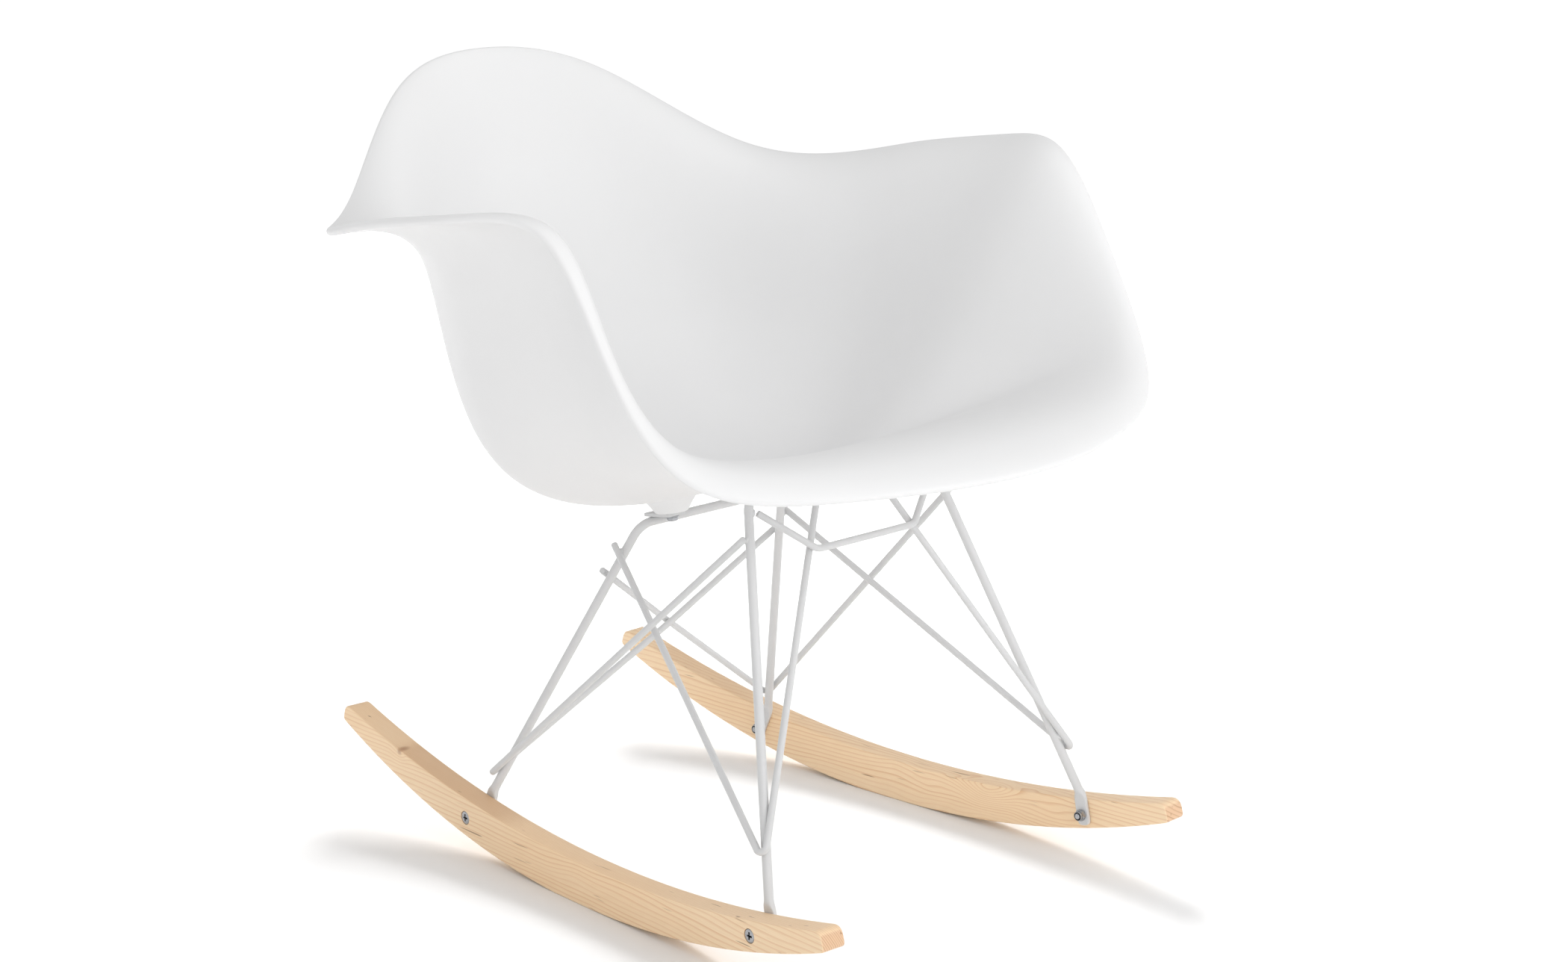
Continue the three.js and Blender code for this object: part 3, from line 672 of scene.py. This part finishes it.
def lock_nut():
    """A hexagon nut, chamfered at both faces, with a collar over its nylon ring."""
    corner, flat = 9 / math.sqrt(3), 4.5
    low, high = NUT_FACE - 4.2, NUT_FACE
    hexagon = pin(corner, low, high, 6)
    limit = turned([(0, low), (flat + 0.05, low), (corner + 0.1, low + 0.45),
                    (corner + 0.1, high - 0.4), (flat + 0.1, high), (0, high)], 64)
    collar = turned([(0, NUT_END), (3.95, NUT_END), (4.15, NUT_END + 0.25), (4.2, low - 0.2),
                     (4.3, low + 0.5), (0, low + 0.5)])
    bore = turned([(0, NUT_END - 1), (3.8, NUT_END - 1), (3.8, NUT_END + 1.8), (2.9, NUT_END + 1.8),
                   (2.9, high - 0.4), (3.2, high + 0.1), (0, high + 0.1)])
    nut = combine(combine(hexagon, "INTERSECT", limit), "UNION", collar)
    return combine(nut, "DIFFERENCE", bore)


def nut_ring():
    return ring(2.75, 3.5, NUT_END + 0.05, NUT_END + 1.5)


# ---- support rods --------------------------------------------------------------------------

FACE_NORMAL = np.array(RUNNER_FRAME.to_3x3() @ Vector((0, 0, 1)))


def smooth(low, high, value):
    """0 up to low, 1 from high on, and a gentle slope between them."""
    t = min(1.0, max(0.0, (value - low) / (high - low)))
    return t * t * (3 - 2 * t)


def hammered_end(foot, bolt, corner):
    """Rings from a tab's lower end up past the foot, to where the rod is still round."""
    down_tab, down_leg = unit(bolt - foot), unit(foot - corner)
    wide = np.cross(FACE_NORMAL, down_tab)
    wide *= math.copysign(1, wide[1])
    length = np.linalg.norm(bolt - foot) + TAB_BELOW
    stations = []
    for angle in TAB_TIP_ANGLES:
        s, c = math.sin(math.radians(angle)), math.cos(math.radians(angle))
        stations.append((length - TAB_HALF + TAB_HALF * s, TAB_HALF * c ** TAB_SQUARE))
    stations += [(s, None) for s in (length - TAB_HALF, *TAB_STATIONS)]
    rings = []
    for s, half_wide in stations:
        flat = smooth(*TAB_FLATTENS, s)
        at = foot + (down_tab if s > 0 else down_leg) * s
        along = -unit(down_leg + (down_tab - down_leg) * smooth(*TAB_TURNS, s))
        half = ROD_R + (TAB_HALF - ROD_R) * flat if half_wide is None else half_wide
        thick = ROD_R + (TAB_THICK / 2 - ROD_R) * flat
        rings.append(section(at, along, wide, half, thick, 2 + 5 * flat, ROD_SIDES))
    return rings


def support_rod(rod):
    """A rod bent to two legs and a crossbar, each leg ending in a tab drilled for its bolt."""
    spec = RODS[rod]
    foot, bolt, corner = on_tab(*spec["foot"]), on_tab(*spec["bolt"]), np.array(spec["corner"])
    left = hammered_end(foot, bolt, corner)
    right = [[p * MIRROR for p in ring_of] for ring_of in left[::-1]]
    top = bent([foot, corner, corner * MIRROR, foot * MIRROR], [ROD_BEND, ROD_BEND], 18)
    wide = unit(np.cross(corner - foot, np.array([1.0, 0, 0])))
    wide *= math.copysign(1, wide[1])
    middle = [section(at, along, wide, ROD_R, ROD_R, sides=ROD_SIDES) for at, along in top[1:-1]]
    body = skin(left + middle + right)
    through = 2 * RUNNER_WIDTH
    hole = pin(TAB_HOLE, -through, 0).placed(bolt_place(rod))
    return combine(body, "DIFFERENCE", hole, hole.mirrored()), polyline(top)


# ---- struts and brace ----------------------------------------------------------------------

def strut(corners, radii):
    """A bent wire and the line through its middle."""
    wide = unit(np.cross(corners[1] - corners[0], corners[-1] - corners[1]))
    return round_wire(corners, radii, WIRE_R, wide), polyline(bent(corners, radii))


def rear_corners(bow):
    """The left rear strut's corners, with one more where it bows to pass its mirror twin."""
    tip, v, across = REAR_STRUT
    passing = v + (across - v) * v[0] / (v[0] - across[0]) + [0, bow, 0]
    return [tip, v, passing, across]


WELD_SIZE, WELD_REACH = 2.4, 30.0
WELDABLE = ROD_R + WIRE_R + 1.2  # the most that a wire's middle and a rod's may lie apart


def beads(line, others, spots):
    """Weld beads where a wire touches other rods, near each spot given."""
    made = []
    for spot in spots:
        for other in others:
            a, b, gap = nearest(near(line, spot), near(other, spot))
            if gap < WELDABLE:
                made.append(weld(a, b, heading(line, a), heading(other, b), WELD_SIZE))
    return made


def near(line, spot):
    """The stretch of a line within reach of a spot, or the line's first bit if there is none."""
    steps = np.linspace(0, 1, 60)[:, None]
    dense = np.vstack([a + (b - a) * steps for a, b in zip(line, line[1:])])
    close = dense[np.linalg.norm(dense - spot, axis=1) < WELD_REACH]
    return close if len(close) > 1 else dense[:2]


def heading(line, at):
    """The direction of a line of points where it passes a place."""
    middles = (line[1:] + line[:-1]) / 2
    k = int(np.linalg.norm(middles - at, axis=1).argmin())
    return unit(line[k + 1] - line[k])


# ---- shell mounts --------------------------------------------------------------------------

def mount_place(where, side):
    """Where a mount stands: its plate's lower face is z = 0 and its screw is on the z axis."""
    tilt = Matrix.Rotation(MOUNT_TILT, 4, "X")
    to_rod = tilt @ Vector((0, SCREW_TO_ROD[where], -ROD_R - GAP))
    _, y, z = RODS[where]["corner"]
    at = Vector((MOUNT_X * side, y, z)) - Vector((0, to_rod.y, to_rod.z))
    return Matrix.Translation(at) @ tilt


def mount_plate(where):
    """A plate with rounded corners, long on the side of its crossbar, drilled for its screw."""
    half, short, long, corner, ease, hole = 10.5, 7.0, 27.0, 3.0, 0.45, 3.5
    low, high = (-short, long) if SCREW_TO_ROD[where] > 0 else (-long, short)
    quarter = math.pi / 2
    outline = np.vstack([
        arc(half - corner, low + corner, corner, -quarter, 0, 8),
        arc(half - corner, high - corner, corner, 0, quarter, 8),
        arc(corner - half, high - corner, corner, quarter, 2 * quarter, 8),
        arc(corner - half, low + corner, corner, 2 * quarter, 3 * quarter, 8),
    ])
    plate = board(outline, 0, PLATE_THICK, ease, steps=3)
    return combine(plate, "DIFFERENCE", pin(hole, -1, PLATE_THICK + 1))


def washer():
    inner, outer, thick = 3.4, 6.2, 1.0
    return ring(inner, outer, -GAP - thick, -GAP)


def mount_screw():
    """A button-headed screw with a hexagon socket, up through the plate."""
    profile = [(0, -5.0), (2.9, -5.0), (4.0, -4.75), (4.7, -4.2), (5.0, -3.4), (5.0, -1.75),
               (4.85, -1.6), (2.8, -1.6), (2.8, 11.9), (2.4, 12.3), (0, 12.3)]
    socket = turned([(0, -5.6), (2.5, -5.6), (2.2, -4.7), (2.2, -3.0), (0, -2.4)], 6)
    return combine(turned(profile), "DIFFERENCE", socket)


def threaded_insert():
    """A brass bush with two grooves, held by the plastic round it."""
    low, high, inner, outer, groove, ease = 3.6, 12.6, 3.3, 4.6, 4.1, 0.3
    outside = [(outer, low + ease), (outer, low + 2.4), (groove, low + 2.8), (groove, low + 3.6),
               (outer, low + 4.0), (outer, high - 2.8), (groove, high - 2.4), (groove, high - 1.6),
               (outer, high - 1.2), (outer, high - ease)]
    return loop([(inner, low + ease), (inner + ease, low), (outer - ease, low), *outside,
                 (outer - ease, high), (inner + ease, high), (inner, high - ease)])


# ---- shell ---------------------------------------------------------------------------------

AROUND, ACROSS, EDGE_STEPS = 300, 60, 12


def round_fan(column):
    """A smooth closed curve through one column of the fan and its mirror image."""
    left = FAN[:, column]
    points = np.vstack([left, left[-2:0:-1] * MIRROR])
    n = len(points)
    system = 4 * np.eye(n) + np.roll(np.eye(n), 1, 1) + np.roll(np.eye(n), -1, 1)
    bends = 6 * (np.roll(points, -1, 0) - 2 * points + np.roll(points, 1, 0))
    bend = np.linalg.solve(system, bends)
    at = np.arange(AROUND) * n / AROUND
    i = at.astype(int)
    t = (at - i)[:, None]
    j = (i + 1) % n
    a, b, c, d = points[i], points[j], bend[i], bend[j]
    return a * (1 - t) + b * t + ((1 - t) ** 3 - (1 - t)) * c / 6 + (t**3 - t) * d / 6


FOOT, SHOULDER, RIM = (round_fan(k) for k in range(3))


def wall(out):
    """The middle of the wall all the way round, at a share of the way from the pan to the rim,
    with the directions outward and up from it."""
    near_pan = PAN + PAN_REACH * (FOOT - PAN)
    near_pan[:, 2] = PAN[2] - PAN_SLOPE * (near_pan[:, 1] - PAN[1])
    handles = [np.broadcast_to(PAN, FOOT.shape), near_pan, FOOT, SHOULDER, RIM]
    back = 1 - out
    weights = [back**4, 4 * back**3 * out, 6 * back**2 * out**2, 4 * back * out**3, out**4]
    at = sum(w * h for w, h in zip(weights, handles))
    slopes = [back**3, 3 * back**2 * out, 3 * back * out**2, out**3]
    outward = sum(w * (b - a) for w, a, b in zip(slopes, handles, handles[1:]))
    outward /= np.linalg.norm(outward, axis=1)[:, None]
    around = np.roll(at, -1, 0) - np.roll(at, 1, 0)
    up = np.cross(outward, around)
    up /= np.linalg.norm(up, axis=1)[:, None]
    return at, outward, up


def thickness(out):
    """The wall's thickness, which grows to the edge's over the last band before the rim."""
    return WALL + (EDGE - WALL) * smooth(1 - EDGE_BAND, 1, out)


def seat_skin():
    """The wall's inner side, its half round edge and its outer side, as one closed skin."""
    outs = [(k + 1) / ACROSS for k in range(ACROSS)]
    inner, outer = [], []
    for out in outs:
        at, _, up = wall(out)
        inner.append(at + up * thickness(out) / 2)
        outer.append(at - up * thickness(out) / 2)
    at, outward, up = wall(1.0)
    edge = []
    for k in range(1, EDGE_STEPS):
        angle = math.pi * k / EDGE_STEPS
        edge.append(at + (up * math.cos(angle) + outward * math.sin(angle)) * EDGE / 2)
    pan_up = unit(np.array([0, PAN_SLOPE, 1]))
    above, below = PAN + pan_up * WALL / 2, PAN - pan_up * WALL / 2
    return skin(inner + edge + outer[::-1], above, below).flipped()


def below_pan():
    """The space under the middle of the seat's wall, where the bosses may be."""
    bottom = 270
    rings = [wall(out)[0] for out in np.linspace(0.03, 0.6, 20)]
    lowest = rings[-1].copy()
    lowest[:, 2] = bottom
    return skin(rings + [lowest], PAN, np.array([0, PAN[1], bottom])).flipped()


def seat_shell():
    """The shell with its four flared bosses, each bored for an insert."""
    body, limit = seat_skin(), below_pan()
    base, tall, bore_r, bore_deep = PLATE_THICK + GAP, 30, 5, 10.5
    flare = turned([(0, base), (BOSS_TIP - 0.5, base), (BOSS_TIP, base + 0.5),
                    (BOSS_TIP + BOSS_SLOPE * tall, base + tall), (0, base + tall)], 72)
    bore = pin(bore_r, base - 1, base + bore_deep)
    places = [mount_place(where, side) for where in RODS for side in SIDES.values()]
    bosses = [combine(flare.placed(place), "INTERSECT", limit) for place in places]
    body = combine(body, "UNION", *bosses)
    return combine(body, "DIFFERENCE", *[bore.placed(place) for place in places])


# ---- the chair -----------------------------------------------------------------------------

make("moulded_shell", seat_shell(), SHELL, "shell", "seat_shell", sharp=28)

lines = {}
for rod in RODS:
    body, lines[rod] = support_rod(rod)
    make(f"{rod}_rod_bent", body, COAT, "frame", f"{rod}_support_rod")

brace_corners = [BRACE[0], BRACE[1], BRACE[1] * MIRROR, BRACE[0] * MIRROR]
body, lines["brace"] = strut(brace_corners, [CORNER_BEND, CORNER_BEND])
for bead in beads(lines["brace"], [lines["front"]], [BRACE[0], BRACE[0] * MIRROR]):
    body += bead
make("brace_wire", body, COAT, "frame", "front_brace")

for name, side in SIDES.items():
    mirror = np.ones(3) if side == LEFT else MIRROR
    body, line = strut(list(FRONT_STRUT), [V_BEND])
    body, line = body.on(side), line * mirror
    for bead in beads(line, [lines["front"], lines["rear"], lines["brace"]], FRONT_STRUT * mirror):
        body += bead
    make(f"front_{name}_wire", body, COAT, "frame", f"front_{name}_strut")

    body, line = strut(rear_corners(side * CROSSING_BOW), [V_BEND, BOW_BEND])
    body, line = body.on(side), line * mirror
    for bead in beads(line, [lines["front"], lines["rear"]], REAR_STRUT * mirror):
        body += bead
    make(f"rear_{name}_wire", body, COAT, "frame", f"rear_{name}_strut")

    make(f"{name}_runner_board", runner().on(side), MAPLE[name], "runner", f"{name}_runner",
         sharp=40)

    for rod in RODS:
        place = bolt_place(rod)
        spot = f"{rod}_{name}"
        make(f"runner_bolt_{spot}", runner_bolt().placed(place).on(side), ZINC, "hardware",
             f"runner_screw_{spot}")
        make(f"hex_nut_{spot}", lock_nut().placed(place).on(side), ZINC, "hardware",
             f"lock_nut_{spot}")
        make(f"nut_nylon_{spot}", nut_ring().placed(place).on(side), NYLON, "nut_ring",
             f"lock_nut_ring_{spot}")

for where in RODS:
    for name, side in SIDES.items():
        place = mount_place(where, side)
        spot = f"{where}_{name}"
        make(f"plate_{spot}", mount_plate(where).placed(place), COAT, "frame",
             f"mount_plate_{spot}")
        make(f"flat_washer_{spot}", washer().placed(place), ZINC, "hardware",
             f"mount_washer_{spot}")
        make(f"socket_screw_{spot}", mount_screw().placed(place), ZINC, "hardware",
             f"mount_screw_{spot}")
        make(f"brass_bush_{spot}", threaded_insert().placed(place), BRASS, "insert",
             f"threaded_insert_{spot}")


# ---- floor, light and camera ---------------------------------------------------------------

def pale_floor():
    """A white floor, which glows a little more the further it runs from the chair."""
    n = Nodes("pale_floor")
    at = n.place()
    colour = n.mix(n.noise(at, 3.0, 2.0), (0.83, 0.83, 0.83, 1), (0.85, 0.85, 0.85, 1))
    flat = n.add("Mapping", Vector=at, Scale=(1, 1, 0)).outputs[0]
    away = n.add("VectorMath", i0=flat)
    away.operation = "LENGTH"
    glow = n.span(away.outputs["Value"], 0.6, 3.0, 0.0, 0.5, True)
    n.shader.inputs["Emission Color"].default_value = (1, 1, 1, 1)
    return n.set(Base_Color=colour, Roughness=n.span(n.noise(at, 40.0), 0.3, 0.7, 0.85, 0.95),
                 Emission_Strength=glow)


FLOOR_HALF = 9.0
floor_mesh = bpy.data.meshes.new("floor")
corners = [(-FLOOR_HALF, -FLOOR_HALF, 0), (FLOOR_HALF, -FLOOR_HALF, 0),
           (FLOOR_HALF, FLOOR_HALF, 0), (-FLOOR_HALF, FLOOR_HALF, 0)]
floor_mesh.from_pydata(corners, [], [(0, 1, 2, 3)])
floor_mesh.materials.append(pale_floor())
floor = bpy.data.objects.new("floor", floor_mesh)
bpy.context.collection.objects.link(floor)


def area_light(name, at, target, size, power):
    data = bpy.data.lights.new(name, "AREA")
    data.shape = "RECTANGLE"
    data.size, data.size_y = size
    data.energy = power
    light = bpy.data.objects.new(name, data)
    light.location = at
    light.rotation_euler = (Vector(target) - Vector(at)).to_track_quat("-Z", "Y").to_euler()
    bpy.context.collection.objects.link(light)
    return light


MIDDLE = (0.0, 0.0, 0.4)
SOFTBOXES = {
    # place, size, power
    "front": ((0.0, -3.0, 1.3), (1.8, 1.8), 21),
    "front_right": ((-2.1, -2.1, 1.6), (1.8, 1.8), 12.5),
    "front_left": ((2.1, -2.1, 1.6), (1.8, 1.8), 9),
    "left": ((3.0, 0.0, 1.3), (1.8, 1.8), 4),
    "back": ((0.0, 3.0, 1.6), (1.8, 1.8), 7),
    "overhead": ((0.0, -0.4, 2.6), (1.0, 1.0), 6),
}
for name, (at, size, power) in SOFTBOXES.items():
    area_light(name, at, MIDDLE, size, power)

# A softbox behind the chair lights only the floor, where the runners alone shade it.
floor_light = area_light("floor_softbox", (1.85, 2.0, 1.75), (0.0, 0.0, 0.0), (0.9, 0.9), 84)
lit, shading = bpy.data.collections.new("lit"), bpy.data.collections.new("shading")
lit.objects.link(floor)
for name in SIDES:
    shading.objects.link(bpy.data.objects[f"{name}_runner_board"])
floor_light.light_linking.receiver_collection = lit
floor_light.light_linking.blocker_collection = shading

WORLD_STRENGTH = 0.64
world = bpy.data.worlds.new("studio")
world.use_nodes = True
background = world.node_tree.nodes["Background"]
background.inputs["Color"].default_value = (1, 1, 1, 1)
background.inputs["Strength"].default_value = WORLD_STRENGTH
bpy.context.scene.world = world
bpy.context.scene.view_settings.view_transform = "Standard"

# The camera stands to the front right of the chair, a little above it, and looks down at it.
CAMERA_AT = (-1735.3, -1923.7, 973.9)
YAW, PITCH, ROLL = 0.7452, 0.2422, -0.0165
LENS, SHIFT = 70.562, (0.0007, 0.0022)
look = Vector((math.sin(YAW) * math.cos(PITCH), math.cos(YAW) * math.cos(PITCH), -math.sin(PITCH)))
level = Vector((math.cos(YAW), -math.sin(YAW), 0))
rise = level.cross(look)
right = math.cos(ROLL) * level + math.sin(ROLL) * rise
upward = -math.sin(ROLL) * level + math.cos(ROLL) * rise
camera_data = bpy.data.cameras.new("camera")
camera_data.sensor_width = 36
camera_data.lens = LENS
camera_data.shift_x, camera_data.shift_y = SHIFT
camera = bpy.data.objects.new("camera", camera_data)
facing = Matrix((right, upward, -look)).transposed().to_4x4()
eye = (Vector(CAMERA_AT) - Vector((0, CENTRE_Y, 0))) * MM
camera.matrix_world = Matrix.Translation(eye) @ facing
bpy.context.collection.objects.link(camera)
bpy.context.scene.camera = camera
